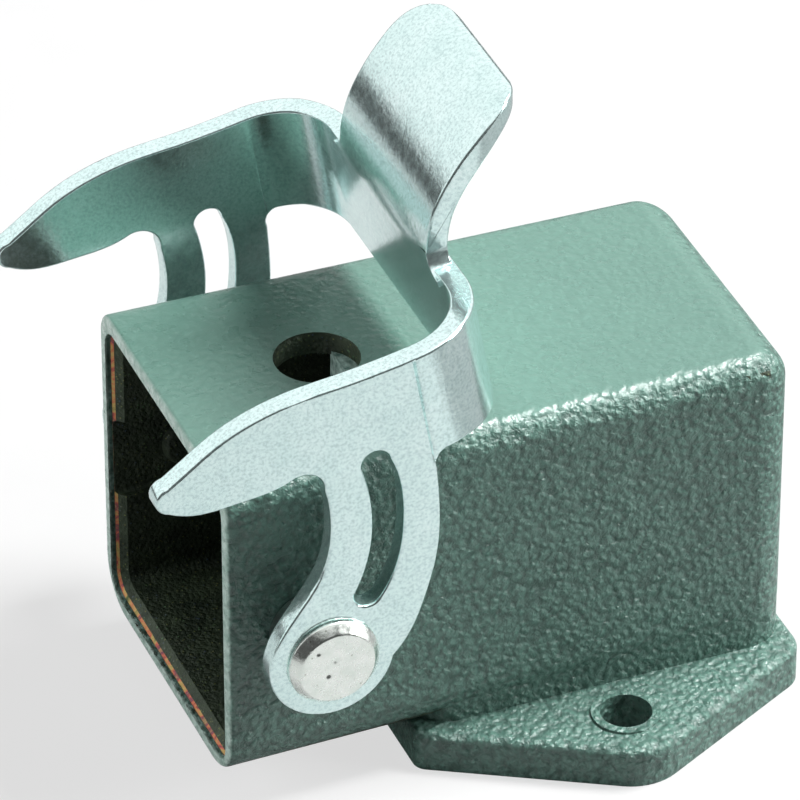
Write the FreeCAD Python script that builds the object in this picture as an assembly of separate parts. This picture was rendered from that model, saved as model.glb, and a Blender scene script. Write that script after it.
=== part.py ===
import FreeCAD, Part
import math
import os

os.makedirs("parts", exist_ok=True)

Vec = FreeCAD.Vector

# Frame: origin midway between the two fixing holes, on the underside of the flange.
# +X runs from the mating mouth to the rear, +Y to the far side, +Z up. Millimetres.

# Housing body
MOUTH_X = -32.2
BODY_LEN = 48.3
BODY_W = 28.0
BODY_H = 28.0
BODY_Z0 = 3.0
DRAFT_SIDE = 0.9
EDGE_R_BOTTOM = 4.2
EDGE_R_TOP = 2.2
EDGE_R_REAR = 3.4
MOUTH_EDGE_R = 0.4

# Mouth: painted lip, bare ledge, cavity for a square contact insert
LIP_T = 1.15
LIP_DEPTH = 0.45
LEDGE_DEPTH = 0.75
SIDE_WALL = 2.0
CAVITY_R = 1.2
INSERT_DEPTH = 31.0
REAR_WALL = 2.6

# Groove for the rivet tails in each side wall of the cavity
GROOVE_H = 7.2
GROOVE_WALL = 1.25
GROOVE_FLOOR = BODY_W / 2.0 - GROOVE_WALL
GROOVE_END = 12.0

# Access hole in the top wall and the boss beside it inside the cavity
TOP_HOLE_X = -18.95
TOP_HOLE_Y = 0.8
TOP_HOLE_D = 6.9
BOSS_LEN = 6.0
BOSS_W = 9.0
BOSS_DROP = 2.2

# Flange, a rounded rhombus with two holes
FLANGE_T = 3.4
HOLE_PITCH = 34.4
HOLE_D = 4.2
FLANGE_FRONT_X = -16.4
FLANGE_FRONT_Y = 13.6
FLANGE_APEX_Y = 23.05
FLANGE_APEX_R = 4.6
FLANGE_REAR_X = 16.7
FLANGE_REAR_Y = 14.3
FLANGE_FRONT_R = 1.3
FLANGE_REAR_R = 2.6
FLANGE_EDGE_R = 0.6
HOLE_LIP_D = 5.6
HOLE_LIP_T = 0.2

# Cable outlet through the underside, and the gasket groove round it
OUTLET_W = 20.0
OUTLET_X0 = -7.0
OUTLET_X1 = 12.4
OUTLET_R = 3.0
GASKET_W = 1.6
GASKET_DEPTH = 1.5
GASKET_LAND = 0.8
GASKET_CLEAR = 0.05

# Pivot
PIVOT_SET_BACK = 6.78
PIVOT_X = MOUTH_X + PIVOT_SET_BACK
PIVOT_Z = BODY_Z0 + BODY_H / 2.0
SHANK_D = 3.2
RUN_CLEAR = 0.05
HEAD_D = 7.5
HEAD_FLAT_D = 6.2
HEAD_H = 1.1
HEAD_EDGE = 0.25
DIMPLE_DEPTH = 0.25
TAIL_D = 4.6
TAIL_H = 0.7
COLLAR_D = 7.0
END_PLAY = 0.04

# Locking lever, folded from one sheet
SHEET_T = 1.8
SIDE_GAP = 2.87
ARM_INNER_Y = BODY_W / 2.0 + SIDE_GAP
ARM_OUTER_Y = ARM_INNER_Y + SHEET_T
BAR_CLEAR = 3.65
EYE_R = 5.2
BEND_R_IN = 5.2
BEND_R_OUT = BEND_R_IN + SHEET_T
BAR_TILT_DEG = 9.98
TAB_HALF_W = 8.85
TAB_CORNER_R = 4.6
TAB_FILLET = 1.8


def mx(x):
    # Distances measured back from the mouth, as positions in the frame
    return MOUTH_X + x


def lever_scale():
    # The lever grows with its rise from the pivot to the crossbar's lower edge
    return (BODY_H / 2.0 + BAR_CLEAR) / 17.65


def lx(x):
    # Lever outlines are drawn from the mouth plane of a housing 28 high
    return PIVOT_X + (x - 6.78) * lever_scale()


def lz(z):
    # and from the underside of its body
    return PIVOT_Z + (z - 14.04) * lever_scale()


def rounded_rect_wire(u0, u1, v0, v1, r, place):
    # Closed wire of a rectangle with round corners; place maps (u, v) to a point
    k = r * math.sqrt(0.5)
    corners = [(u1, v1, 1, 1), (u0, v1, -1, 1), (u0, v0, -1, -1), (u1, v0, 1, -1)]
    edges = []
    pts = []
    for cu, cv, su, sv in corners:
        ou = cu - su * r
        ov = cv - sv * r
        a = (cu, ov)
        b = (ou, cv)
        mid = (ou + su * k, ov + sv * k)
        if su * sv < 0:
            a, b = b, a
        pts.append((a, mid, b))
    for i, (a, mid, b) in enumerate(pts):
        edges.append(Part.Arc(place(*a), place(*mid), place(*b)).toShape())
        nxt = pts[(i + 1) % 4][0]
        if math.hypot(nxt[0] - b[0], nxt[1] - b[1]) > 1e-6:
            edges.append(Part.LineSegment(place(*b), place(*nxt)).toShape())
    return Part.Wire(edges)


def prism_x(x0, x1, y0, y1, z0, z1, r):
    # Bar along X with a rounded rectangular section
    wire = rounded_rect_wire(y0, y1, z0, z1, r, lambda u, v: Vec(x0, u, v))
    return Part.Face(wire).extrude(Vec(x1 - x0, 0, 0))


def prism_z(x0, x1, y0, y1, z0, z1, r):
    # Upright block with a rounded rectangular plan
    wire = rounded_rect_wire(x0, x1, y0, y1, r, lambda u, v: Vec(u, v, z0))
    return Part.Face(wire).extrude(Vec(0, 0, z1 - z0))


def cyl_y(d, y0, y1, x, z):
    return Part.makeCylinder(d / 2.0, y1 - y0, Vec(x, y0, z), Vec(0, 1, 0))


def body_section(x, narrow):
    # Outer section of the body: large radii below, small radii above
    hw = BODY_W / 2.0 - narrow
    zb = BODY_Z0
    zt = BODY_Z0 + BODY_H
    q = math.sqrt(0.5)
    spec = [(1, 1, EDGE_R_TOP), (-1, 1, EDGE_R_TOP), (-1, -1, EDGE_R_BOTTOM), (1, -1, EDGE_R_BOTTOM)]
    arcs = []
    for sy, sz, r in spec:
        cy = sy * (hw - r)
        cz = (zt - r) if sz > 0 else (zb + r)
        a = Vec(x, sy * hw, cz)
        b = Vec(x, cy, zt if sz > 0 else zb)
        m = Vec(x, cy + sy * r * q, cz + sz * r * q)
        if sy * sz < 0:
            a, b = b, a
        arcs.append((a, m, b))
    edges = []
    for i, (a, m, b) in enumerate(arcs):
        edges.append(Part.Arc(a, m, b).toShape())
        edges.append(Part.LineSegment(b, arcs[(i + 1) % 4][0]).toShape())
    return Part.Wire(edges)


def fillet_where(shape, r, want):
    edges = [e for e in shape.Edges if want(e)]
    return shape.makeFillet(r, edges) if edges else shape


def tangent_outline(points):
    # Closed plan outline through corner points, each (x, y, corner radius)
    n = len(points)
    tri = []
    for i in range(n):
        px, py, _ = points[i - 1]
        cx, cy, r = points[i]
        nx, ny, _ = points[(i + 1) % n]
        a = Vec(px - cx, py - cy, 0).normalize()
        b = Vec(nx - cx, ny - cy, 0).normalize()
        half = a.getAngle(b) / 2.0
        d = r / math.tan(half)
        c = Vec(cx, cy, 0)
        bis = (a + b).normalize()
        centre = c + bis * (r / math.sin(half))
        tri.append((c + a * d, centre - bis * r, c + b * d))
    edges = []
    for i, (s, m, e) in enumerate(tri):
        edges.append(Part.Arc(s, m, e).toShape())
        nxt = tri[(i + 1) % n][0]
        if (nxt - e).Length > 1e-6:
            edges.append(Part.LineSegment(e, nxt).toShape())
    return Part.Wire(edges)


def flange_wire():
    half = [
        (FLANGE_FRONT_X, -FLANGE_FRONT_Y, FLANGE_FRONT_R),
        (0.0, -FLANGE_APEX_Y, FLANGE_APEX_R),
        (FLANGE_REAR_X, -FLANGE_REAR_Y, FLANGE_REAR_R),
    ]
    other = [(x, -y, r) for x, y, r in reversed(half)]
    return tangent_outline(half + other)


def make_housing():
    x1 = mx(BODY_LEN)
    mouth = body_section(MOUTH_X, 0.0)
    body = Part.makeLoft([mouth, body_section(x1, DRAFT_SIDE)], True, True)

    # Rounded rear and a small radius round the mouth
    def rear_edge(e):
        bb = e.BoundBox
        return bb.XMin > x1 - 1e-3 and bb.ZMax > BODY_Z0 + EDGE_R_BOTTOM + 1.0
    body = fillet_where(body, EDGE_R_REAR, rear_edge)
    body = fillet_where(body, MOUTH_EDGE_R, lambda e: e.BoundBox.XMax < MOUTH_X + 1e-3)

    plate = Part.Face(flange_wire()).extrude(Vec(0, 0, FLANGE_T))
    plate = fillet_where(
        plate, FLANGE_EDGE_R,
        lambda e: e.BoundBox.ZMin > FLANGE_T - 1e-3)
    for side in (-1, 1):
        lip = Part.makeCylinder(
            HOLE_LIP_D / 2.0, HOLE_LIP_T + 0.5, Vec(0, side * HOLE_PITCH / 2.0, FLANGE_T - 0.5))
        plate = plate.fuse(lip)

    # Lower part of the body carried down square into the flange
    foot = prism_z(
        FLANGE_FRONT_X + 0.6, x1, -BODY_W / 2.0 + DRAFT_SIDE, BODY_W / 2.0 - DRAFT_SIDE,
        0.6, BODY_Z0 + EDGE_R_BOTTOM, EDGE_R_REAR)
    shell = body.fuse([plate, foot]).removeSplitter()

    # Mouth: lip opening, tapered bare ledge, then the cavity
    cut = []
    lip_half = BODY_W / 2.0 - LIP_T
    mid_z = BODY_Z0 + BODY_H / 2.0
    cav = BODY_W / 2.0 - SIDE_WALL
    cav_h = BODY_H / 2.0 - SIDE_WALL
    lip_h = BODY_H / 2.0 - LIP_T
    cut.append(prism_x(
        MOUTH_X - 1.0, MOUTH_X + LIP_DEPTH, -lip_half, lip_half,
        mid_z - lip_h, mid_z + lip_h, CAVITY_R + 0.8))
    w0 = rounded_rect_wire(
        -lip_half + 0.1, lip_half - 0.1, mid_z - lip_h + 0.1, mid_z + lip_h - 0.1, CAVITY_R + 0.7,
        lambda u, v: Vec(MOUTH_X + LIP_DEPTH - 0.01, u, v))
    w1 = rounded_rect_wire(
        -cav, cav, mid_z - cav_h, mid_z + cav_h, CAVITY_R,
        lambda u, v: Vec(MOUTH_X + LIP_DEPTH + LEDGE_DEPTH, u, v))
    cut.append(Part.makeLoft([w0, w1], True, True))
    cut.append(prism_x(
        MOUTH_X + LIP_DEPTH + LEDGE_DEPTH - 0.01, mx(INSERT_DEPTH), -cav, cav,
        mid_z - cav_h, mid_z + cav_h, CAVITY_R))

    # Wiring space behind the insert, and the outlet down through the flange
    rear_in = x1 - REAR_WALL
    space = prism_x(
        mx(INSERT_DEPTH) - 4.0, rear_in, -cav + 0.5, cav - 0.5,
        mid_z - cav_h, mid_z + cav_h - 0.6, 2.2)
    cut.append(space)
    cut.append(prism_z(
        OUTLET_X0, OUTLET_X1, -OUTLET_W / 2.0, OUTLET_W / 2.0,
        -1.0, mid_z, OUTLET_R))

    # Grooves for the rivet tails, and the rivet holes
    for side in (-1, 1):
        y_in = side * (cav - 1.0)
        y_out = side * GROOVE_FLOOR
        cut.append(prism_x(
            MOUTH_X + LIP_DEPTH, mx(GROOVE_END), min(y_in, y_out), max(y_in, y_out),
            PIVOT_Z - GROOVE_H / 2.0, PIVOT_Z + GROOVE_H / 2.0, 0.3))
        y_a = side * (cav - 1.0)
        y_b = side * (BODY_W / 2.0 + 1.0)
        cut.append(cyl_y(SHANK_D, min(y_a, y_b), max(y_a, y_b), PIVOT_X, PIVOT_Z))

    # Top access hole, flange holes, gasket groove
    cut.append(Part.makeCylinder(
        TOP_HOLE_D / 2.0, 10.0, Vec(TOP_HOLE_X, TOP_HOLE_Y, mid_z + cav_h - 4.0)))
    for side in (-1, 1):
        cut.append(Part.makeCylinder(
            HOLE_D / 2.0, FLANGE_T + 3.0, Vec(0, side * HOLE_PITCH / 2.0, -1.0)))
    shell = shell.cut(cut)

    # Boss inside the top wall behind the access hole
    boss_x0 = TOP_HOLE_X + TOP_HOLE_D / 2.0 - 1.2
    boss = prism_z(
        boss_x0, boss_x0 + BOSS_LEN, -BOSS_W / 2.0, BOSS_W / 2.0,
        mid_z + cav_h - BOSS_DROP, mid_z + cav_h + 0.3, 1.0)
    clear = Part.makeCylinder(
        TOP_HOLE_D / 2.0 - 0.9, 12.0, Vec(TOP_HOLE_X, TOP_HOLE_Y, mid_z))
    shell = shell.fuse(boss).cut(clear)

    g0x = OUTLET_X0 - GASKET_LAND
    g1x = OUTLET_X1 + GASKET_LAND
    gy = OUTLET_W / 2.0 + GASKET_LAND
    ring = gasket_ring(g0x, g1x, gy, GASKET_W, -0.5, GASKET_DEPTH)
    shell = shell.cut(ring)
    return shell.removeSplitter()


def gasket_ring(x0, x1, half_y, width, z0, z1):
    outer = prism_z(
        x0 - width, x1 + width, -half_y - width, half_y + width, z0, z1,
        OUTLET_R + GASKET_LAND + width)
    inner = prism_z(x0, x1, -half_y, half_y, z0 - 1.0, z1 + 1.0, OUTLET_R + GASKET_LAND)
    return outer.cut(inner)


def make_gasket():
    return gasket_ring(
        OUTLET_X0 - GASKET_LAND - GASKET_CLEAR, OUTLET_X1 + GASKET_LAND + GASKET_CLEAR,
        OUTLET_W / 2.0 + GASKET_LAND + GASKET_CLEAR,
        GASKET_W - 2.0 * GASKET_CLEAR, 0.0, GASKET_DEPTH - GASKET_CLEAR)


def side_point(x, z, y):
    return Vec(lx(x), y, lz(z))


def side_spline(points, y):
    curve = Part.BSplineCurve()
    curve.interpolate([side_point(x, z, y) for x, z in points])
    return curve.toShape()


def side_line(a, b, y):
    return Part.LineSegment(side_point(a[0], a[1], y), side_point(b[0], b[1], y)).toShape()


def side_arc(a, m, b, y):
    return Part.Arc(
        side_point(a[0], a[1], y), side_point(m[0], m[1], y), side_point(b[0], b[1], y)).toShape()


# Points that two outline edges share, measured from the mouth plane and the body underside
BEND_TOP = (13.6, 40.4)
HOOK_TOP = (-6.3, 33.65)
HOOK_LOW = (-6.3, 31.25)
NOTCH_FRONT = (3.9, 31.85)
NOTCH_REAR = (6.3, 29.95)
SHOULDER = (15.45, 29.8)
BAR_LOW = (16.5, 31.4)
BAR_REAR_BASE = (22.35, 31.65)


def lever_outline(y):
    # Side outline of the whole lever, arm and crossbar, in the X-Z plane
    r = EYE_R
    left = Vec(PIVOT_X - r * math.cos(math.radians(4)), y, PIVOT_Z + r * math.sin(math.radians(4)))
    low = Vec(PIVOT_X, y, PIVOT_Z - r)
    right = Vec(
        PIVOT_X + r * math.cos(math.radians(12)), y, PIVOT_Z - r * math.sin(math.radians(12)))
    front = Part.BSplineCurve()
    front.interpolate(
        [side_point(x, z, y) for x, z in
         (NOTCH_REAR, (6.75, 26.4), (6.0, 22.3), (3.6, 18.6), (2.1, 16.1))] + [left])
    rear = Part.BSplineCurve()
    rear.interpolate(
        [right] + [side_point(x, z, y) for x, z in
                   ((13.1, 14.55), (14.6, 18.2), (15.5, 21.9), (15.7, 25.7), SHOULDER)])
    return Part.Wire(Part.__sortEdges__([
        side_spline([BEND_TOP, (10.8, 39.85), (7.6, 39.35), (4.4, 38.95), (1.15, 38.15),
                     (-2.15, 36.65), (-4.55, 34.95), HOOK_TOP], y),
        side_arc(HOOK_TOP, (-7.3, 32.55), HOOK_LOW, y),
        side_spline([HOOK_LOW, (-3.9, 30.55), (-0.7, 30.75), (2.1, 31.15), NOTCH_FRONT], y),
        side_arc(NOTCH_FRONT, (5.6, 31.55), NOTCH_REAR, y),
        front.toShape(),
        Part.Arc(left, low, right).toShape(),
        rear.toShape(),
        side_arc(SHOULDER, (15.55, 30.9), BAR_LOW, y),
        side_line(BAR_LOW, (18.3, 31.65), y),
        side_line((18.3, 31.65), (25.0, 31.65), y),
        side_line((25.0, 31.65), (25.0, 41.9), y),
        side_line((25.0, 41.9), (18.2, 41.3), y),
        side_line((18.2, 41.3), BEND_TOP, y),
    ]))


def slot_outline(y):
    low_l = (8.6, 19.6)
    low_r = (10.8, 19.0)
    top_l = (9.25, 31.4)
    top_r = (11.6, 31.6)
    return Part.Wire([
        side_spline([top_l, (9.95, 28.6), (10.15, 25.4), (9.6, 22.0), low_l], y),
        side_arc(low_l, (9.4, 18.4), low_r, y),
        side_spline([low_r, (12.1, 21.7), (12.65, 25.6), (12.4, 29.2), top_r], y),
        side_arc(top_r, (10.3, 32.6), top_l, y),
    ])


def bar_axes():
    # Directions in the side view: up the crossbar, and square to it towards the rear
    t = math.radians(BAR_TILT_DEG)
    return Vec(-math.sin(t), 0, math.cos(t)), Vec(math.cos(t), 0, math.sin(t))


def make_strap():
    # U-shaped strip, crossbar and two bends, swept up the slope of the crossbar
    up, rear = bar_axes()
    k = lever_scale()
    base = side_point(BAR_REAR_BASE[0], BAR_REAR_BASE[1], 0.0) - up * (6.0 * k)
    q = math.sqrt(0.5)
    yo = ARM_OUTER_Y
    yi = ARM_INNER_Y
    ro = BEND_R_OUT
    ri = BEND_R_IN
    co = yo - ro
    t = SHEET_T
    reach = 26.0 * k

    def at(back, y):
        # back is the distance in front of the crossbar's rear face
        return base - rear * back + Vec(0, y, 0)

    def seg(a, b):
        return Part.LineSegment(at(*a), at(*b)).toShape()

    def arc(a, m, b):
        return Part.Arc(at(*a), at(*m), at(*b)).toShape()

    edges = [
        seg((0, -co), (0, co)),
        arc((0, co), (ro - ro * q, co + ro * q), (ro, yo)),
        seg((ro, yo), (reach, yo)),
        seg((reach, yo), (reach, yi)),
        seg((reach, yi), (ro, yi)),
        arc((ro, yi), (ro - ri * q, co + ri * q), (t, co)),
        seg((t, co), (t, -co)),
        arc((t, -co), (ro - ri * q, -co - ri * q), (ro, -yi)),
        seg((ro, -yi), (reach, -yi)),
        seg((reach, -yi), (reach, -yo)),
        seg((reach, -yo), (ro, -yo)),
        arc((ro, -yo), (ro - ro * q, -co - ro * q), (0, -co)),
    ]
    return Part.Face(Part.Wire(edges)).extrude(up * (32.0 * k))


def make_arm_plates():
    # Flat plates for the two arms, reaching forward to the hooks and down to the eyes
    up, rear = bar_axes()
    k = lever_scale()
    plates = []
    for y0 in (-ARM_OUTER_Y, ARM_INNER_Y):
        base = side_point(BAR_REAR_BASE[0], BAR_REAR_BASE[1], y0) - rear * BEND_R_OUT
        a = base + up * (16.0 * k)
        b = base - up * (30.0 * k)
        c = b - Vec(40.0 * k, 0, 0)
        d = a - Vec(40.0 * k, 0, 0)
        face = Part.Face(Part.makePolygon([a, b, c, d, a]))
        plates.append(face.extrude(Vec(0, SHEET_T, 0)))
    return plates[0].fuse(plates[1])


def make_lever():
    span = 2.0 * ARM_OUTER_Y + 2.0
    y0 = -span / 2.0
    blank = Part.Face(lever_outline(y0)).extrude(Vec(0, span, 0))
    slot = Part.Face(slot_outline(y0)).extrude(Vec(0, span, 0))
    lever = make_strap().fuse(make_arm_plates()).common(blank)
    hole = cyl_y(SHANK_D + 2.0 * RUN_CLEAR, y0, -y0, PIVOT_X, PIVOT_Z)
    lever = lever.cut([slot, hole])
    return lever.fuse(make_tab()).removeSplitter()


TAB_FRONT = [(18.75, 40.4), (18.45, 42.9), (19.1, 46.2), (20.7, 49.2), (22.9, 51.9), (24.55, 53.25),
             (25.85, 53.85)]


def make_tab():
    # Thumb tab: rises from the crossbar and curls to the rear, one sheet thick
    w = TAB_HALF_W
    span = BODY_W
    y0 = -span / 2.0
    front_pts = [side_point(x, z, y0) for x, z in TAB_FRONT]
    back_pts = []
    n = len(front_pts)
    for i, point in enumerate(front_pts):
        d = front_pts[min(i + 1, n - 1)] - front_pts[max(i - 1, 0)]
        d.normalize()
        back_pts.append(point + Vec(d.z, 0, -d.x) * SHEET_T)
    front = Part.BSplineCurve()
    front.interpolate(front_pts)
    back = Part.BSplineCurve()
    back.interpolate(back_pts[::-1])
    d = front_pts[-1] - front_pts[-2]
    d.normalize()
    nose = (front_pts[-1] + back_pts[-1]) * 0.5 + d * (SHEET_T / 2.0)
    tip = Part.Arc(front_pts[-1], nose, back_pts[-1]).toShape()
    foot = Part.LineSegment(back_pts[0], front_pts[0]).toShape()
    band = Part.Face(Part.Wire([front.toShape(), tip, back.toShape(), foot])).extrude(Vec(0, span, 0))
    q = math.sqrt(0.5)

    # Corners of the tip, rounded in plan
    x0 = lx(14.0)
    xs = lx(20.9)
    x1 = nose.x
    k = TAB_CORNER_R
    z = lz(30.0)
    wide = span / 2.0

    def v(x, y):
        return Vec(x, y, z)
    e = [
        Part.LineSegment(v(x0, wide), v(x0, -wide)).toShape(),
        Part.LineSegment(v(x0, -wide), v(xs, -wide)).toShape(),
        Part.LineSegment(v(xs, -wide), v(xs, -w)).toShape(),
        Part.LineSegment(v(xs, -w), v(x1 - k, -w)).toShape(),
        Part.Arc(v(x1 - k, -w), v(x1 - k + k * q, -w + k - k * q), v(x1, -w + k)).toShape(),
        Part.LineSegment(v(x1, -w + k), v(x1, w - k)).toShape(),
        Part.Arc(v(x1, w - k), v(x1 - k + k * q, w - k + k * q), v(x1 - k, w)).toShape(),
        Part.LineSegment(v(x1 - k, w), v(xs, w)).toShape(),
        Part.LineSegment(v(xs, w), v(xs, wide)).toShape(),
        Part.LineSegment(v(xs, wide), v(x0, wide)).toShape(),
    ]
    top = lz(60.0)
    plan = Part.Face(Part.Wire(e)).extrude(Vec(0, 0, top - z))

    # Concave fillets where the tab meets the crossbar, cut in the front view
    z0 = lz(41.0)
    zb = lz(39.0)
    f = TAB_FILLET

    def h(y, zz):
        return Vec(lx(10.0), y, zz)
    g = [
        Part.LineSegment(h(-w - f, zb), h(w + f, zb)).toShape(),
        Part.LineSegment(h(w + f, zb), h(w + f, z0)).toShape(),
        Part.Arc(h(w + f, z0), h(w + f - f * q, z0 + f - f * q), h(w, z0 + f)).toShape(),
        Part.LineSegment(h(w, z0 + f), h(w, top)).toShape(),
        Part.LineSegment(h(w, top), h(-w, top)).toShape(),
        Part.LineSegment(h(-w, top), h(-w, z0 + f)).toShape(),
        Part.Arc(h(-w, z0 + f), h(-w - f + f * q, z0 + f - f * q), h(-w - f, z0)).toShape(),
        Part.LineSegment(h(-w - f, z0), h(-w - f, zb)).toShape(),
    ]
    front_view = Part.Face(Part.Wire(g)).extrude(Vec(lx(40.0) - lx(10.0), 0, 0))
    return band.common(plan).common(front_view)


def make_rivet(side):
    # Shank through collar and wall, large head outside, small tail inside the groove
    y_head = ARM_OUTER_Y + END_PLAY
    y_tail = GROOVE_FLOOR
    head = Part.makeCone(
        HEAD_D / 2.0, HEAD_FLAT_D / 2.0, HEAD_H - HEAD_EDGE,
        Vec(PIVOT_X, y_head + HEAD_EDGE, PIVOT_Z), Vec(0, 1, 0))
    rim = cyl_y(HEAD_D, y_head, y_head + HEAD_EDGE, PIVOT_X, PIVOT_Z)
    shank = cyl_y(SHANK_D, y_tail, y_head, PIVOT_X, PIVOT_Z)
    tail = Part.makeCone(
        TAIL_D / 2.0 - 0.5, TAIL_D / 2.0, TAIL_H,
        Vec(PIVOT_X, y_tail - TAIL_H, PIVOT_Z), Vec(0, 1, 0))
    rivet = head.fuse([rim, shank, tail]).removeSplitter()
    dimple = Part.makeSphere(
        1.6, Vec(PIVOT_X, y_head + HEAD_H + 1.6 - DIMPLE_DEPTH, PIVOT_Z))
    rivet = rivet.cut(dimple)
    if side < 0:
        rivet = rivet.mirror(Vec(0, 0, 0), Vec(0, 1, 0))
    return rivet


def make_collar(side):
    # Bare metal spacer collar between the body wall and the lever arm
    y0 = BODY_W / 2.0
    y1 = ARM_INNER_Y - END_PLAY
    outer = cyl_y(COLLAR_D, y0, y1, PIVOT_X, PIVOT_Z)
    inner = cyl_y(SHANK_D, y0 - 1.0, y1 + 1.0, PIVOT_X, PIVOT_Z)
    collar = outer.cut(inner)
    if side < 0:
        collar = collar.mirror(Vec(0, 0, 0), Vec(0, 1, 0))
    return collar


NODES = {
    "housing": make_housing(),
    "locking_lever": make_lever(),
    "pivot_rivet_near": make_rivet(-1),
    "pivot_rivet_far": make_rivet(1),
    "spacer_collar_near": make_collar(-1),
    "spacer_collar_far": make_collar(1),
    "flange_gasket": make_gasket(),
}

for name, shape in NODES.items():
    print(name, shape.isValid(), len(shape.Solids), round(shape.Volume, 1))
    shape.exportStep("parts/" + name + ".step")
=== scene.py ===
import math

import bmesh
import bpy
from mathutils import Matrix, Vector


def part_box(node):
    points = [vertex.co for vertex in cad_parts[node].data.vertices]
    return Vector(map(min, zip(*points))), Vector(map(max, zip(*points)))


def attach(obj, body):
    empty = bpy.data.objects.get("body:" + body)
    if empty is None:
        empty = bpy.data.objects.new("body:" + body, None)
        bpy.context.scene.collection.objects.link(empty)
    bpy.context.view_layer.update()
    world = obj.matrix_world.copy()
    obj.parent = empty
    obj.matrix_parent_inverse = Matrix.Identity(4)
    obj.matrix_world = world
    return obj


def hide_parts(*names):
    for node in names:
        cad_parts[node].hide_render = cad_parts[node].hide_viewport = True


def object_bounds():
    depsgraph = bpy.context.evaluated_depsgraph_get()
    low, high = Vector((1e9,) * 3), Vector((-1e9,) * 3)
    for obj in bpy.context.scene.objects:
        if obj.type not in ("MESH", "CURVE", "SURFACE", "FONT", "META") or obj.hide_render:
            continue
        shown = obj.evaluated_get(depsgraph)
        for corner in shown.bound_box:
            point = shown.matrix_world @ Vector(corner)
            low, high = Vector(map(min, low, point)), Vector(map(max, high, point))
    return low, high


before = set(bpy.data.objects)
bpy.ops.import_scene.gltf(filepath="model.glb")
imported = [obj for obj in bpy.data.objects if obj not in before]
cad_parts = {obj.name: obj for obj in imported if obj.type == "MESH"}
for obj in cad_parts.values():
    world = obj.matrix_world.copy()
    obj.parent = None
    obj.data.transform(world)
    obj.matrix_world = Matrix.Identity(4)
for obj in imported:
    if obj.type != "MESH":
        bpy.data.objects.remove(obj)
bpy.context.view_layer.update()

MM = 0.001

# Housing sizes that the finishes follow, in millimetres
MOUTH_X = -32.2
LIP_DEPTH = 0.45
LEDGE_DEPTH = 0.75
LIP_HALF = 12.85
AXIS_Z = 17.0
REAR_INNER = 13.7
HOLE_X = -18.95
HOLE_Y = 0.8
HOLE_R = 3.45
ROOF_Z = 29.0
BOSS_Z = 26.6
BOSS_HALF = 4.6
BOSS_REAR = -10.5
FLANGE_TOP = 3.4

# Where the housing's finishes begin and end, in millimetres
PAINT_INTO_LIP = 0.25
FILM_DEPTH = 0.20
HOLE_BARE_DEPTH = 1.8
RIM_BACK = 0.6
PLACE_PLAY = 0.3
LIP_PLAY = 0.05
ROOF_PLAY = 0.35

# Least lean along X of a slope's normal, and least pull towards the axis of a face inside
SLOPE_LEAN = 0.3
FACING_IN = 0.5

# Worn paint and painted highlight on the rim of the mouth
RIM_START = 0.04
RIM_FADE = 0.22
RIM_WEAR_AND_HIGHLIGHT = 0.85

# The roof's paint flowed out flatter above this height, to a share of the relief; the painted crease
# shade falls with it
ROOF_FLAT = 30.3
ROOF_FLOW_RISE = 0.6
ROOF_RELIEF = 0.22

# Texture heights, in metres
PAINT_DEPTH = 0.00034
PAINT_WARP = 0.0005
LEDGE_LINE_DEPTH = 0.00004
CASTING_DEPTH = 0.00018
PAD_DEPTH = 0.00016
ZINC_DEPTH = 0.00005
STEEL_DEPTH = 0.00008
COLLAR_DEPTH = 0.00004
RUBBER_DEPTH = 0.00005

# Texture scales, in cycles per metre
PEBBLE_SCALE = 1750.0
PAINT_GRAIN_SCALE = 2600.0
ZINC_SPECK_SCALE = 3900.0
STEEL_PIT_SCALE = 1300.0

# Softened edges, in millimetres
LEVER_EDGE_R = 0.245
HOUSING_EDGE_R = 0.22
LEVER_EDGE_STEPS = 3
HOUSING_EDGE_STEPS = 2
SHARP_DEG = 32.0
FLAT_DEG = 0.4
WELD = 0.0015

# Pressed line at the start of each bend, in millimetres
ARM_OUTER_Y = 18.67
CREASE_TOP = (-18.85, 0.0, 43.9)
CREASE_LOW = (-16.68, 0.0, 31.9)
CREASE_HALF = 0.18
CREASE_DEPTH = 0.20
CREASE_FADE = 0.5
CREASE_STEPS = (0.0, 0.04, 0.3, 0.6, 0.96, 1.0)
ON_LINE = 0.01

# Notch beside the thumb tab, in millimetres: its edges start at a share of the rounding
NOTCH = (-12.9, 10.0, 44.0)
NOTCH_REACH = 0.8
NOTCH_FADE = 3.0
NOTCH_SHARE = 0.25

# Rivet, in millimetres
HEAD_R = 3.75
FACE_R = 3.02
HEAD_H = 1.1
HEAD_BEVEL = 0.3
SHANK_R = 1.6
TAIL_R = 2.3
TAIL_H = 0.7
TAIL_BEVEL = 0.35
TAIL_ZONE_Y = 13.0
RIVET_ROUND = 0.16
COLLAR_ROUND = 0.25
ROUND_STEPS = 4
ROUND_SHARE = 0.45
LATHE_STEPS = 120

# Rivet face: a shallow dish with three small dents, in millimetres from the axis
FLAT_R = 2.6
FACE_RINGS = 22
DISH_R = 1.7
DISH_DEPTH = 0.12
FACE_SINK = 0.01
FACE_BAND = 0.2
DENTS = ((-1.59, 1.83), (-0.2, 0.67), (-0.78, -0.51))
DENT_R = 0.30
DENT_DEPTH = 0.17

# Material places on the housing and on the rivets
PAINT, LEDGE, CASTING, PAD = range(4)
STEEL, PASSIVATED = range(2)

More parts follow.
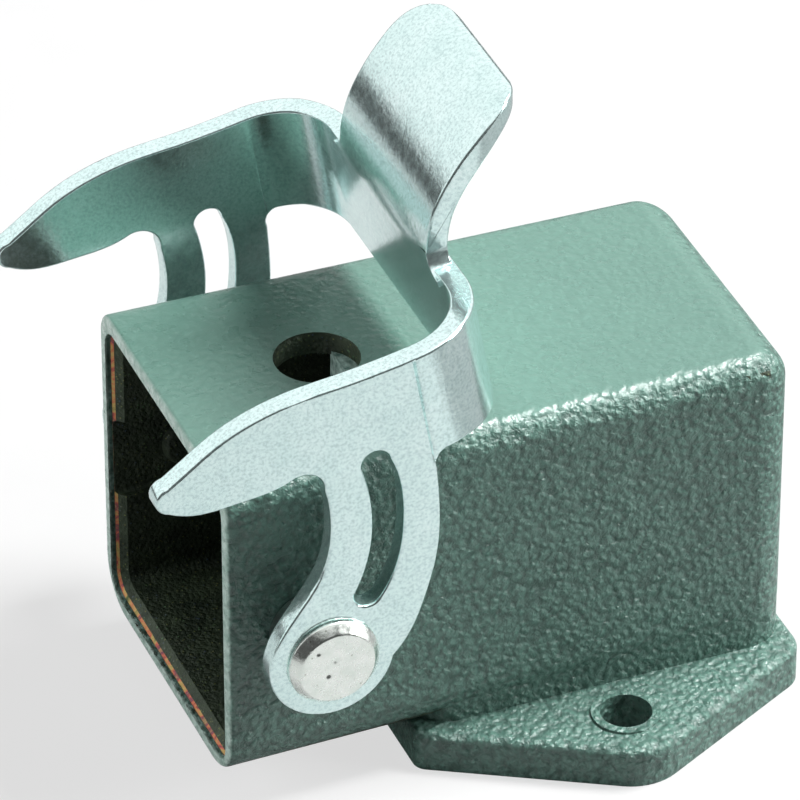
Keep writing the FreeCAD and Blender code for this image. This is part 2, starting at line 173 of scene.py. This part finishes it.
# Studio: light from the world, then what mirrors and the camera see of room and floor
WORLD_LIGHT = 0.09
ROOM_DIM = 0.07
WALL_WHITE = 1.0
WALL_Y = (-0.25, 0.15)
WALL_FOOT = 0.06
OVERHEAD_Z = (0.72, 0.9)
FLOOR_SEEN = 0.18
FLOOR_MIRRORED = 0.385
FLOOR_BOUNCE = 0.28
FLOOR_GLOW = 0.66
FLOOR_GLOW_MIRRORED = 0.03
FLOOR_HALF = 1.6
FLOOR_STEPS = 6
PAPER_EDGE = 0.26
PAPER_FADE = 1.12
# Painted shade on the reflected floor to the right of the object: its share, then where it starts and
# ends in metres
RIGHT_SHADE = 0.5
RIGHT_X = (0.024, 0.040)

# Soft lamps: name, direction, distance and size in metres, watts, seen in mirrors
LAMP_TARGET = (-0.008, 0.0, 0.02)
LAMPS = (
    ("key", (0.53, -0.04, 0.83), 0.55, 0.18, 5.85, True),
    ("fill", (0.86, -0.40, 0.32), 0.7, 0.22, 2.9, True),
    ("bounce", (-0.93, 0.22, 0.28), 0.6, 0.4, 3.0, False),
)

# Camera: place in millimetres, its axes, and its focal length in pixels of an 800 pixel frame
CAMERA_PLACE = (-183.87, -421.84, 346.54)
CAMERA_RIGHT = (0.9262996, -0.3767877, 0.0)
CAMERA_DOWN = (-0.2170159, -0.5335147, -0.8174755)
CAMERA_FORWARD = (0.3080147, 0.7572273, -0.5759634)
FOCAL_PX = 7092.0
FRAME_PX = 800.0
SENSOR = 36.0


def srgb(r, g, b):
    # Linear colour from a display colour in 0 to 255
    def one(c):
        c = c / 255.0
        return c / 12.92 if c <= 0.04045 else ((c + 0.055) / 1.055) ** 2.4
    return (one(r), one(g), one(b), 1.0)


class Nodes:
    # Short way to write a node tree
    def __init__(self, name):
        self.material = bpy.data.materials.new(name)
        self.material.use_nodes = True
        self.tree = self.material.node_tree
        self.tree.nodes.clear()
        self.out = self.tree.nodes.new("ShaderNodeOutputMaterial")

    def add(self, kind, **values):
        node = self.tree.nodes.new(kind)
        for key, value in values.items():
            setattr(node, key, value)
        return node

    def link(self, a, b):
        self.tree.links.new(a, b)

    def place(self):
        return self.add("ShaderNodeTexCoord").outputs["Object"]

    def noise(self, scale, detail=2.0, rough=0.5, distortion=0.0):
        n = self.add("ShaderNodeTexNoise")
        n.inputs["Scale"].default_value = scale
        n.inputs["Detail"].default_value = detail
        n.inputs["Roughness"].default_value = rough
        n.inputs["Distortion"].default_value = distortion
        self.link(self.place(), n.inputs["Vector"])
        return n.outputs["Fac"]

    def cells(self, scale, feature="F1", vector=None):
        n = self.add("ShaderNodeTexVoronoi", feature=feature)
        n.inputs["Scale"].default_value = scale
        self.link(vector or self.place(), n.inputs["Vector"])
        return n.outputs["Distance"]

    def ramp(self, fac, stops):
        n = self.add("ShaderNodeValToRGB")
        ramp = n.color_ramp
        ramp.interpolation = "LINEAR"
        while len(ramp.elements) < len(stops):
            ramp.elements.new(0.5)
        for element, (at, colour) in zip(ramp.elements, stops):
            element.position = at
            element.color = colour if len(colour) == 4 else (*colour, 1.0)
        self.link(fac, n.inputs["Fac"])
        return n.outputs["Color"]

    def mix(self, fac, a, b, blend="MIX"):
        n = self.add("ShaderNodeMix", data_type="RGBA", blend_type=blend)
        for socket, value in ((n.inputs[0], fac), (n.inputs[6], a), (n.inputs[7], b)):
            if isinstance(value, (int, float, tuple)):
                socket.default_value = value
            else:
                self.link(value, socket)
        return n.outputs[2]

    def math(self, operation, a, b=0.0):
        n = self.add("ShaderNodeMath", operation=operation)
        for socket, value in ((n.inputs[0], a), (n.inputs[1], b)):
            if isinstance(value, (int, float)):
                socket.default_value = value
            else:
                self.link(value, socket)
        return n.outputs[0]

    def span(self, value, low, high, out_low=0.0, out_high=1.0):
        n = self.add("ShaderNodeMapRange")
        n.inputs["From Min"].default_value = low
        n.inputs["From Max"].default_value = high
        n.inputs["To Min"].default_value = out_low
        n.inputs["To Max"].default_value = out_high
        self.link(value, n.inputs["Value"])
        return n.outputs["Result"]

    def bump(self, height, strength, distance):
        n = self.add("ShaderNodeBump")
        n.inputs["Strength"].default_value = strength
        n.inputs["Distance"].default_value = distance
        self.link(height, n.inputs["Height"])
        return n.outputs["Normal"]

    def surface(self, colour, rough, normal, **fixed):
        n = self.add("ShaderNodeBsdfPrincipled")
        for key, value in fixed.items():
            n.inputs[key.replace("_", " ")].default_value = value
        self.link(colour, n.inputs["Base Color"])
        if rough is not None:
            self.link(rough, n.inputs["Roughness"])
        self.link(normal, n.inputs["Normal"])
        self.link(n.outputs[0], self.out.inputs["Surface"])
        return self.material


def paint():
    # Grey-green wrinkle paint: pebbled skin whose creases are darker, partly the two-tone paint and
    # partly painted shade; the mouth's rim is paler, partly worn paint and partly a painted highlight
    m = Nodes("wrinkle_paint")
    warp = m.add("ShaderNodeVectorMath", operation="MULTIPLY_ADD")
    n = m.add("ShaderNodeTexNoise")
    n.inputs["Scale"].default_value = 900.0
    m.link(m.place(), n.inputs["Vector"])
    m.link(n.outputs["Color"], warp.inputs[0])
    warp.inputs[1].default_value = (PAINT_WARP, PAINT_WARP, PAINT_WARP)
    m.link(m.place(), warp.inputs[2])
    pebbles = m.cells(PEBBLE_SCALE, "SMOOTH_F1", warp.outputs[0])
    grain = m.noise(PAINT_GRAIN_SCALE, 3.0, 0.6, 0.6)
    height = m.math("ADD", m.math("MULTIPLY", pebbles, -1.0), m.math("MULTIPLY", grain, 0.6))
    where = m.add("ShaderNodeSeparateXYZ")
    m.link(m.place(), where.inputs[0])
    flow = m.span(
        where.outputs["Z"], ROOF_FLAT * MM, (ROOF_FLAT + ROOF_FLOW_RISE) * MM, 1.0, ROOF_RELIEF)
    relief = m.math("MULTIPLY", height, flow)
    # Tone follows the relief: creases darker, partly the two-tone paint and partly painted shade in the
    # creases
    crease_shaded_tone = m.ramp(m.math("ADD", relief, 0.35), [
        (0.05, srgb(70, 99, 90)), (0.20, srgb(83, 116, 106)), (0.34, srgb(89, 123, 112)),
        (0.46, srgb(93, 128, 117))])
    drift = m.ramp(m.noise(95.0, 3.0), [(0.3, (0.97, 0.97, 0.97)), (0.7, (1.02, 1.02, 1.02))])
    colour = m.mix(1.0, crease_shaded_tone, drift, "MULTIPLY")
    # Paler rim: partly worn paint, partly a painted highlight where light catches the front of the
    # mouth
    worn_and_lit = m.ramp(m.noise(1200.0, 2.0), [(0.35, srgb(142, 168, 158)), (0.65, srgb(182, 202, 194))])
    rim = m.span(
        where.outputs["X"], (MOUTH_X + RIM_START) * MM, (MOUTH_X + RIM_FADE) * MM, RIM_WEAR_AND_HIGHLIGHT, 0.0)
    colour = m.mix(rim, colour, worn_and_lit)
    rough = m.span(m.noise(700.0, 2.0), 0.3, 0.7, 0.24, 0.36)
    normal = m.bump(relief, 1.0, PAINT_DEPTH)
    return m.surface(colour, rough, normal, IOR=1.5, Specular_IOR_Level=0.65)


def bare_ledge():
    # Machined edge with a passivated film that runs from straw to red and violet
    m = Nodes("passivated_ledge")
    film = m.noise(330.0, 4.0, 0.65, 1.2)
    colour = m.ramp(film, [(0.34, srgb(84, 96, 62)), (0.44, srgb(184, 160, 98)),
                           (0.51, srgb(192, 104, 82)), (0.56, srgb(118, 66, 84)),
                           (0.62, srgb(172, 134, 98)), (0.74, srgb(84, 108, 84))])
    rough = m.span(m.noise(2500.0), 0.3, 0.7, 0.30, 0.55)
    lines = m.bump(m.noise(5200.0, 2.0), 0.35, LEDGE_LINE_DEPTH)
    return m.surface(colour, rough, lines, Metallic=0.75)


def inner_casting_shaded():
    # Passivated rough casting inside, olive and nearly black with coloured specks; the darkness is
    # partly its own colour and partly painted shade of the unlit cavity
    m = Nodes("inner_casting_shaded")
    base = m.ramp(m.noise(380.0, 4.0, 0.6), [(0.3, srgb(34, 44, 34)), (0.7, srgb(66, 78, 60))])
    fleck = m.cells(2600.0)
    tint = m.ramp(m.noise(900.0, 2.0), [(0.35, srgb(120, 170, 120)), (0.5, srgb(150, 150, 80)),
                                        (0.65, srgb(90, 110, 150))])
    spots = m.ramp(fleck, [(0.10, (1, 1, 1)), (0.24, (0, 0, 0))])
    colour = m.mix(m.math("MULTIPLY", spots, 0.55), base, tint)
    height = m.math("ADD", m.noise(2100.0, 4.0, 0.65), m.math("MULTIPLY", fleck, -0.5))
    normal = m.bump(height, 0.9, CASTING_DEPTH)
    return m.surface(colour, None, normal, Roughness=0.46, Metallic=0.35)


def boss_lit_paint():
    # Rough paint of the boss under the access hole, made pale as painted light where light reaches into
    # the hole
    m = Nodes("boss_painted_light")
    colour = m.ramp(
        m.noise(1500.0, 3.0, 0.6), [(0.35, srgb(104, 138, 130)), (0.65, srgb(188, 214, 206))])
    rough = m.span(m.noise(900.0, 2.0), 0.3, 0.7, 0.3, 0.5)
    return m.surface(colour, rough, m.bump(m.noise(1800.0, 3.0), 0.8, PAD_DEPTH), IOR=1.5)


def zinc():
    # Zinc plated spring steel: satin, with fine orange peel and faint rolling haze
    m = Nodes("zinc_plate")
    colour = m.ramp(m.noise(320.0, 3.0, 0.6), [(0.3, srgb(218, 243, 241)), (0.7, srgb(229, 251, 249))])
    speck = m.ramp(m.noise(ZINC_SPECK_SCALE, 2.0, 0.6), [(0.34, (0.80, 0.82, 0.83)), (0.50, (1, 1, 1)),
                                               (0.64, (1.08, 1.08, 1.08))])
    colour = m.mix(1.0, colour, speck, "MULTIPLY")
    rough = m.span(m.noise(1500.0, 2.0, 0.5), 0.3, 0.7, 0.15, 0.22)
    height = m.math("ADD", m.noise(2600.0, 2.0, 0.5), m.math("MULTIPLY", m.noise(700.0), 0.8))
    return m.surface(colour, rough, m.bump(height, 0.2, ZINC_DEPTH), Metallic=0.93)


def rivet_steel():
    # Bare formed steel, warm and satin, with fine pits
    m = Nodes("formed_steel")
    colour = m.ramp(m.noise(900.0, 4.0, 0.65), [(0.3, srgb(230, 239, 232)), (0.7, srgb(250, 254, 250))])
    pits = m.ramp(m.cells(STEEL_PIT_SCALE), [(0.06, (0.55, 0.55, 0.52)), (0.14, (1, 1, 1))])
    colour = m.mix(1.0, colour, pits, "MULTIPLY")
    rough = m.span(m.noise(1800.0, 2.0), 0.3, 0.7, 0.18, 0.32)
    pit_relief = m.math("MULTIPLY", m.cells(STEEL_PIT_SCALE), 0.3)
    height = m.math("ADD", m.noise(1500.0, 4.0, 0.6), pit_relief)
    return m.surface(colour, rough, m.bump(height, 0.3, STEEL_DEPTH), Metallic=1.0)


def collar_steel():
    # Bare turned steel of the spacer collars
    m = Nodes("turned_steel")
    colour = m.ramp(m.noise(600.0, 3.0), [(0.3, srgb(176, 184, 182)), (0.7, srgb(206, 212, 210))])
    rough = m.span(m.noise(2400.0), 0.3, 0.7, 0.28, 0.42)
    return m.surface(colour, rough, m.bump(m.noise(4200.0, 2.0), 0.25, COLLAR_DEPTH), Metallic=1.0)


def rubber():
    # Black moulded rubber with a dusty bloom
    m = Nodes("gasket_rubber")
    colour = m.ramp(m.noise(450.0, 4.0, 0.6), [(0.35, srgb(26, 27, 27)), (0.75, srgb(52, 53, 52))])
    rough = m.span(m.noise(1900.0, 2.0), 0.3, 0.7, 0.6, 0.8)
    return m.surface(colour, rough, m.bump(m.noise(3800.0, 3.0), 0.35, RUBBER_DEPTH))


def clean_copy(node):
    # A node's shape as a fresh mesh: seams welded, flat facets joined
    bm = bmesh.new()
    bm.from_mesh(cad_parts[node].data)
    bmesh.ops.remove_doubles(bm, verts=bm.verts, dist=WELD * MM)
    bmesh.ops.dissolve_limit(
        bm, angle_limit=math.radians(FLAT_DEG), verts=bm.verts, edges=bm.edges, delimit={"NORMAL"})
    bm.normal_update()
    return bm


def sharp_edges(bm):
    return [e for e in bm.edges
            if len(e.link_faces) == 2 and e.calc_face_angle(0.0) > math.radians(SHARP_DEG)]


def soften(bm, radius, segments):
    bmesh.ops.bevel(
        bm, geom=sharp_edges(bm), offset=radius * MM, offset_type="OFFSET", segments=segments,
        profile=0.5, affect="EDGES", clamp_overlap=True)


def soften_by_share(bm, radius, segments, share):
    # Rounds every sharp edge by its own share of the radius
    layer = bm.edges.layers.float.new("bevel_weight_edge")
    for e in sharp_edges(bm):
        e[layer] = share(e)
    mesh = bpy.data.meshes.new("softening")
    bm.to_mesh(mesh)
    bm.free()
    obj = bpy.data.objects.new("softening", mesh)
    bpy.context.scene.collection.objects.link(obj)
    bevel = obj.modifiers.new("bevel", "BEVEL")
    bevel.limit_method = "WEIGHT"
    bevel.width = radius * MM
    bevel.segments = segments
    bevel.use_clamp_overlap = False
    done = obj.evaluated_get(bpy.context.evaluated_depsgraph_get())
    out = bmesh.new()
    out.from_mesh(done.to_mesh())
    done.to_mesh_clear()
    bpy.data.objects.remove(obj)
    bpy.data.meshes.remove(mesh)
    out.normal_update()
    return out


def new_piece(name, bm, materials, body, slot, *nodes):
    mesh = bpy.data.meshes.new(name)
    bm.normal_update()
    bm.to_mesh(mesh)
    bm.free()
    for m in materials:
        mesh.materials.append(m)
    for p in mesh.polygons:
        p.use_smooth = True
    obj = bpy.data.objects.new(name, mesh)
    bpy.context.scene.collection.objects.link(obj)
    weighted = obj.modifiers.new("weighted", "WEIGHTED_NORMAL")
    weighted.weight = 60
    weighted.keep_sharp = True
    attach(obj, body)
    if nodes:
        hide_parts(*nodes)
    return obj


def cut_plane(bm, faces, point, normal):
    # Adds the edges where a plane crosses the faces
    geom = set(faces)
    for f in faces:
        geom.update(f.edges)
        geom.update(f.verts)
    bmesh.ops.bisect_plane(
        bm, geom=list(geom), dist=1e-7, plane_co=Vector(point) * MM, plane_no=Vector(normal))


def housing_finish(face, film_end):
    # Which finish a face of the housing wears, told by its place
    c = face.calc_center_median() / MM
    side = max(abs(c.y), abs(c.z - AXIS_Z))
    from_hole = math.hypot(c.x - HOLE_X, c.y - HOLE_Y)
    inward = -(face.normal.y * c.y + face.normal.z * (c.z - AXIS_Z))
    inside_lip = c.x > MOUTH_X + PAINT_INTO_LIP
    beside_hole = HOLE_X < c.x < BOSS_REAR and abs(c.y) < BOSS_HALF
    # The boss under the access hole gets the pale paint of painted light
    if beside_hole and BOSS_Z < c.z < ROOF_Z + ROOF_PLAY:
        return PAD
    if from_hole < HOLE_R + PLACE_PLAY and ROOF_Z < c.z < ROOF_Z + HOLE_BARE_DEPTH:
        return CASTING
    if side > LIP_HALF + PLACE_PLAY and c.x > MOUTH_X + RIM_BACK:
        return PAINT
    if inside_lip and c.x < film_end and inward > FACING_IN:
        return LEDGE
    if inside_lip and side < LIP_HALF + LIP_PLAY and c.x < REAR_INNER and c.z > FLANGE_TOP:
        return CASTING
    return PAINT


def build_housing(materials):
    bm = clean_copy("housing")
    soften(bm, HOUSING_EDGE_R, HOUSING_EDGE_STEPS)
    bm.normal_update()
    film_end = MOUTH_X + LIP_DEPTH + FILM_DEPTH
    slope_end = MOUTH_X + LIP_DEPTH + LEDGE_DEPTH + PLACE_PLAY
    slope = [f for f in bm.faces
             if abs(f.normal.x) > SLOPE_LEAN and MOUTH_X < f.calc_center_median().x / MM < slope_end]
    cut_plane(bm, slope, (film_end, 0.0, 0.0), (1.0, 0.0, 0.0))
    for f in bm.faces:
        f.material_index = housing_finish(f, film_end)
    return new_piece("housing_shell", bm, materials, "base", "housing_paint", "housing")


def arm_faces(bm, facing, depth):
    # Faces that look sideways, within a depth of the arms' outer planes
    return [f for f in bm.faces if abs(f.normal.y) > facing
            and abs(f.calc_center_median().y) / MM > ARM_OUTER_Y - depth]


def press_creases(bm):
    # Fine pressed line on each outer face where the arm turns into the crossbar
    point = Vector(CREASE_TOP)
    along = (Vector(CREASE_LOW) - point).normalized()
    across = Vector((-along.z, 0.0, along.x))
    length = (Vector(CREASE_LOW) - point).length
    bmesh.ops.triangulate(bm, faces=arm_faces(bm, 0.999, 0.05))
    cuts = [(point + across * offset, across) for offset in (-CREASE_HALF, 0.0, CREASE_HALF)]
    cuts += [(point + along * length * share, along) for share in CREASE_STEPS]
    for spot, normal in cuts:
        cut_plane(bm, arm_faces(bm, 0.5, 0.5), spot, normal)
    for v in bm.verts:
        here = v.co / MM
        down = (here - point).dot(along)
        if abs(here.y) < ARM_OUTER_Y - ON_LINE or not 0.0 < down < length:
            continue
        if abs((here - point).dot(across)) < ON_LINE:
            v.co.y -= math.copysign(CREASE_DEPTH * (1.0 - CREASE_FADE * down / length) * MM, v.co.y)
    for e in bm.edges:
        ends = [v.co / MM for v in e.verts]
        in_crease = all(abs((end - point).dot(across)) < CREASE_HALF * 1.1
                        and abs(end.y) > ARM_OUTER_Y - CREASE_DEPTH for end in ends)
        if in_crease and abs((ends[0] - ends[1]).normalized().dot(along)) > 0.9:
            e.smooth = False


def lever_share(edge):
    # The small notch corners beside the thumb tab stay crisper than the open edges
    corners = [Vector((v.co.x, abs(v.co.y), v.co.z)) / MM for v in edge.verts]
    far = min((corner - Vector(NOTCH)).length for corner in corners)
    return min(1.0, max(NOTCH_SHARE, (far - NOTCH_REACH) / NOTCH_FADE))


def build_lever(material):
    bm = clean_copy("locking_lever")
    bm = soften_by_share(bm, LEVER_EDGE_R, LEVER_EDGE_STEPS, lever_share)
    press_creases(bm)
    return new_piece("lever_sheet", bm, [material], "lever", "lever_steel", "locking_lever")


def lathe(profile, centre, direction):
    # Turned solid about Y; profile is (radius, distance along direction) in millimetres
    bm = bmesh.new()
    rings = []
    for r, h in profile:
        y = centre.y + direction * h
        if r < 1e-6:
            rings.append([bm.verts.new(Vector((centre.x, y, centre.z)) * MM)])
            continue
        ring = []
        for i in range(LATHE_STEPS):
            a = 2.0 * math.pi * i / LATHE_STEPS
            p = Vector((centre.x + r * math.cos(a), y, centre.z + r * math.sin(a)))
            ring.append(bm.verts.new(p * MM))
        rings.append(ring)
    for a, b in zip(rings, rings[1:]):
        for i in range(LATHE_STEPS):
            j = (i + 1) % LATHE_STEPS
            if len(a) == 1 and len(b) == 1:
                continue
            if len(a) == 1:
                bm.faces.new((a[0], b[i], b[j]))
            elif len(b) == 1:
                bm.faces.new((a[i], b[0], a[j]))
            else:
                bm.faces.new((a[i], b[i], b[j], a[j]))
    bmesh.ops.recalc_face_normals(bm, faces=bm.faces)
    return bm


def rounded(points, r):
    # Profile with each inner corner rounded by up to r
    out = [points[0]]
    for before, here, after in zip(points, points[1:], points[2:]):
        a = Vector((before[0] - here[0], before[1] - here[1]))
        b = Vector((after[0] - here[0], after[1] - here[1]))
        k = min(r, a.length * ROUND_SHARE, b.length * ROUND_SHARE)
        p0 = Vector(here) + a.normalized() * k
        p1 = Vector(here) + b.normalized() * k
        for i in range(ROUND_STEPS + 1):
            t = i / ROUND_STEPS
            q = p0 * (1 - t) ** 2 + Vector(here) * 2 * t * (1 - t) + p1 * t ** 2
            out.append((q.x, q.y))
    out.append(points[-1])
    return out


def build_rivet(name, node, side, materials):
    # Headed rivet whose formed tail, inside the cavity, is passivated with the casting
    low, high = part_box(node)
    centre = (low + high) * 0.5 / MM
    outer = (high.y if side > 0 else -low.y) / MM
    inner = (low.y if side > 0 else -high.y) / MM
    centre.y = 0.0
    face = [(0.0, outer - DISH_DEPTH)]
    for i in range(1, FACE_RINGS + 1):
        r = FLAT_R * i / FACE_RINGS
        face.append((r, outer - DISH_DEPTH * max(0.0, 1.0 - r / DISH_R) ** 1.5 - FACE_SINK))
    corner = [(FACE_R, outer), (HEAD_R, outer - HEAD_H + HEAD_BEVEL), (HEAD_R, outer - HEAD_H),
              (SHANK_R, outer - HEAD_H), (SHANK_R, inner + TAIL_H), (TAIL_R, inner + TAIL_H),
              (TAIL_R - TAIL_BEVEL, inner), (0.0, inner)]
    profile = face[:-1] + rounded([face[-1]] + corner, RIVET_ROUND)
    bm = lathe(profile, centre, side)
    for v in bm.verts:
        here = v.co / MM
        if side * here.y > outer - FACE_BAND:
            for dx, dz in DENTS:
                far = math.hypot(here.x - centre.x - dx, here.z - centre.z - dz) / DENT_R
                v.co.y -= side * DENT_DEPTH * math.exp(-far * far) * MM
    for f in bm.faces:
        if side * f.calc_center_median().y / MM < TAIL_ZONE_Y:
            f.material_index = PASSIVATED
        else:
            f.material_index = STEEL
    return new_piece(name, bm, materials, "base", "rivet_steel", node)


def build_collar(name, node, side, material):
    low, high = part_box(node)
    centre = (low + high) * 0.5 / MM
    outer = (high.y if side > 0 else -low.y) / MM
    inner = (low.y if side > 0 else -high.y) / MM
    radius = (high.x - low.x) * 0.5 / MM
    centre.y = 0.0
    profile = rounded(
        [(SHANK_R, inner), (radius, inner), (radius, outer), (SHANK_R, outer)], COLLAR_ROUND)
    profile.append((SHANK_R, inner))
    bm = lathe(profile, centre, side)
    bmesh.ops.remove_doubles(bm, verts=bm.verts, dist=WELD * MM)
    bmesh.ops.recalc_face_normals(bm, faces=bm.faces)
    return new_piece(name, bm, [material], "base", "collar_steel", node)


class Rays:
    # Picks a value by the kind of ray that asks: camera, mirror-like, or plain light
    def __init__(self, tree):
        self.tree = tree
        self.path = tree.nodes.new("ShaderNodeLightPath")
        self.shiny = tree.nodes.new("ShaderNodeMath")
        self.shiny.operation = "MAXIMUM"
        tree.links.new(self.path.outputs["Is Glossy Ray"], self.shiny.inputs[0])
        tree.links.new(self.path.outputs["Is Transmission Ray"], self.shiny.inputs[1])

    def blend(self, chooser, off, on):
        mix = self.tree.nodes.new("ShaderNodeMix")
        self.tree.links.new(chooser, mix.inputs[0])
        for socket, value in ((mix.inputs[2], off), (mix.inputs[3], on)):
            if isinstance(value, float):
                socket.default_value = value
            else:
                self.tree.links.new(value, socket)
        return mix.outputs[0]

    def pick(self, camera, mirror, plain):
        other = self.blend(self.shiny.outputs[0], plain, mirror)
        return self.blend(self.path.outputs["Is Camera Ray"], other, camera)

    def steps(self, value, stops):
        ramp = self.tree.nodes.new("ShaderNodeMapRange")
        ramp.interpolation_type = "SMOOTHSTEP"
        (x0, y0), (x1, y1) = stops
        ramp.inputs["From Min"].default_value = x0
        ramp.inputs["From Max"].default_value = x1
        ramp.inputs["To Min"].default_value = y0
        ramp.inputs["To Max"].default_value = y1
        self.tree.links.new(value, ramp.inputs["Value"])
        return ramp.outputs["Result"]


def build_world():
    # White wall behind, dim room in front up to the lamps overhead, white to the camera
    world = bpy.data.worlds.new("studio")
    world.use_nodes = True
    tree = world.node_tree
    rays = Rays(tree)
    shade = tree.nodes["Background"]
    shade.inputs["Color"].default_value = (1.0, 1.0, 1.0, 1.0)
    where = tree.nodes.new("ShaderNodeTexCoord")
    split = tree.nodes.new("ShaderNodeSeparateXYZ")
    tree.links.new(where.outputs["Generated"], split.inputs[0])
    front = rays.steps(split.outputs["Z"], ((OVERHEAD_Z[0], ROOM_DIM), (OVERHEAD_Z[1], 1.0)))
    back = rays.steps(split.outputs["Y"], ((WALL_Y[0], 0.0), (WALL_Y[1], 1.0)))
    wall = rays.steps(split.outputs["Z"], ((0.0, ROOM_DIM), (WALL_FOOT, WALL_WHITE)))
    room = rays.blend(back, front, wall)
    tree.links.new(rays.pick(1.0, room, WORLD_LIGHT), shade.inputs["Strength"])
    bpy.context.scene.world = world


def build_floor():
    # Pale paper; past its edge the reflected floor is dim, and towards the right it carries painted
    # shade in reflections
    m = Nodes("floor_paper")
    rays = Rays(m.tree)
    length = m.add("ShaderNodeVectorMath", operation="LENGTH")
    m.link(m.place(), length.inputs[0])
    near = rays.steps(
        length.outputs["Value"], ((PAPER_EDGE, 1.0), (PAPER_EDGE * PAPER_FADE, 0.0)))
    grain = m.span(m.noise(120.0, 2.0), 0.3, 0.7, 0.98, 1.02)
    split = m.add("ShaderNodeSeparateXYZ")
    m.link(m.place(), split.inputs[0])
    # Painted shade: the floor seen in mirrors darkens to the right, beside the housing
    rightward_shade = rays.steps(split.outputs["X"], ((RIGHT_X[0], 1.0), (RIGHT_X[1], RIGHT_SHADE)))
    mirrored = m.math("MULTIPLY", m.math("MULTIPLY", near, rightward_shade), FLOOR_MIRRORED)
    albedo = m.math("MULTIPLY", rays.pick(FLOOR_SEEN, mirrored, FLOOR_BOUNCE), grain)
    tint = m.add("ShaderNodeCombineColor")
    for channel in tint.inputs:
        m.link(albedo, channel)
    plain = m.add("ShaderNodeBsdfDiffuse")
    m.link(tint.outputs[0], plain.inputs["Color"])
    glow = m.add("ShaderNodeEmission")
    glow.inputs["Color"].default_value = (1.0, 1.0, 1.0, 1.0)
    m.link(rays.pick(FLOOR_GLOW, FLOOR_GLOW_MIRRORED, 0.0), glow.inputs["Strength"])
    both = m.add("ShaderNodeAddShader")
    m.link(plain.outputs[0], both.inputs[0])
    m.link(glow.outputs[0], both.inputs[1])
    m.link(both.outputs[0], m.out.inputs["Surface"])
    bm = bmesh.new()
    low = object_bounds()[0].z
    ticks = [FLOOR_HALF * (2 * i / FLOOR_STEPS - 1) for i in range(FLOOR_STEPS + 1)]
    grid = [[bm.verts.new((x, y, low)) for y in ticks] for x in ticks]
    for i in range(FLOOR_STEPS):
        for j in range(FLOOR_STEPS):
            bm.faces.new((grid[i][j], grid[i + 1][j], grid[i + 1][j + 1], grid[i][j + 1]))
    mesh = bpy.data.meshes.new("floor")
    bm.to_mesh(mesh)
    bm.free()
    mesh.materials.append(m.material)
    floor = bpy.data.objects.new("floor", mesh)
    bpy.context.scene.collection.objects.link(floor)


def build_lamp(name, toward, distance, size, power, mirrored):
    # Square soft lamp that looks at the middle of the object
    data = bpy.data.lights.new(name, "AREA")
    data.shape = "SQUARE"
    data.size = size
    data.energy = power
    obj = bpy.data.objects.new(name, data)
    direction = Vector(toward).normalized()
    obj.location = Vector(LAMP_TARGET) + direction * distance
    obj.rotation_mode = "QUATERNION"
    obj.rotation_quaternion = direction.to_track_quat("Z", "Y")
    obj.visible_glossy = mirrored
    bpy.context.scene.collection.objects.link(obj)


def build_camera():
    # Photograph's own viewpoint, solved from the housing edges
    right = Vector(CAMERA_RIGHT)
    down = Vector(CAMERA_DOWN)
    forward = Vector(CAMERA_FORWARD)
    place = Vector(CAMERA_PLACE) * MM
    data = bpy.data.cameras.new("camera")
    data.sensor_width = SENSOR
    data.lens = SENSOR * FOCAL_PX / FRAME_PX
    data.clip_start = 0.05
    data.clip_end = 10.0
    cam = bpy.data.objects.new("camera", data)
    axes = Matrix((right, -down, -forward)).transposed().to_4x4()
    cam.matrix_world = Matrix.Translation(place) @ axes
    bpy.context.scene.collection.objects.link(cam)
    bpy.context.scene.camera = cam


build_camera()
build_world()

zinc_plate = zinc()
casting = inner_casting_shaded()
build_housing([paint(), bare_ledge(), casting, boss_lit_paint()])
build_lever(zinc_plate)
formed = rivet_steel()
turned = collar_steel()
for word, side in (("near", -1), ("far", 1)):
    build_rivet("rivet_" + word, "pivot_rivet_" + word, side, [formed, casting])
    build_collar("collar_" + word, "spacer_collar_" + word, side, turned)

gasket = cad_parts["flange_gasket"]
gasket.data.materials.clear()
gasket.data.materials.append(rubber())

build_floor()
for values in LAMPS:
    build_lamp(*values)

scene = bpy.context.scene
scene.view_settings.view_transform = "Standard"
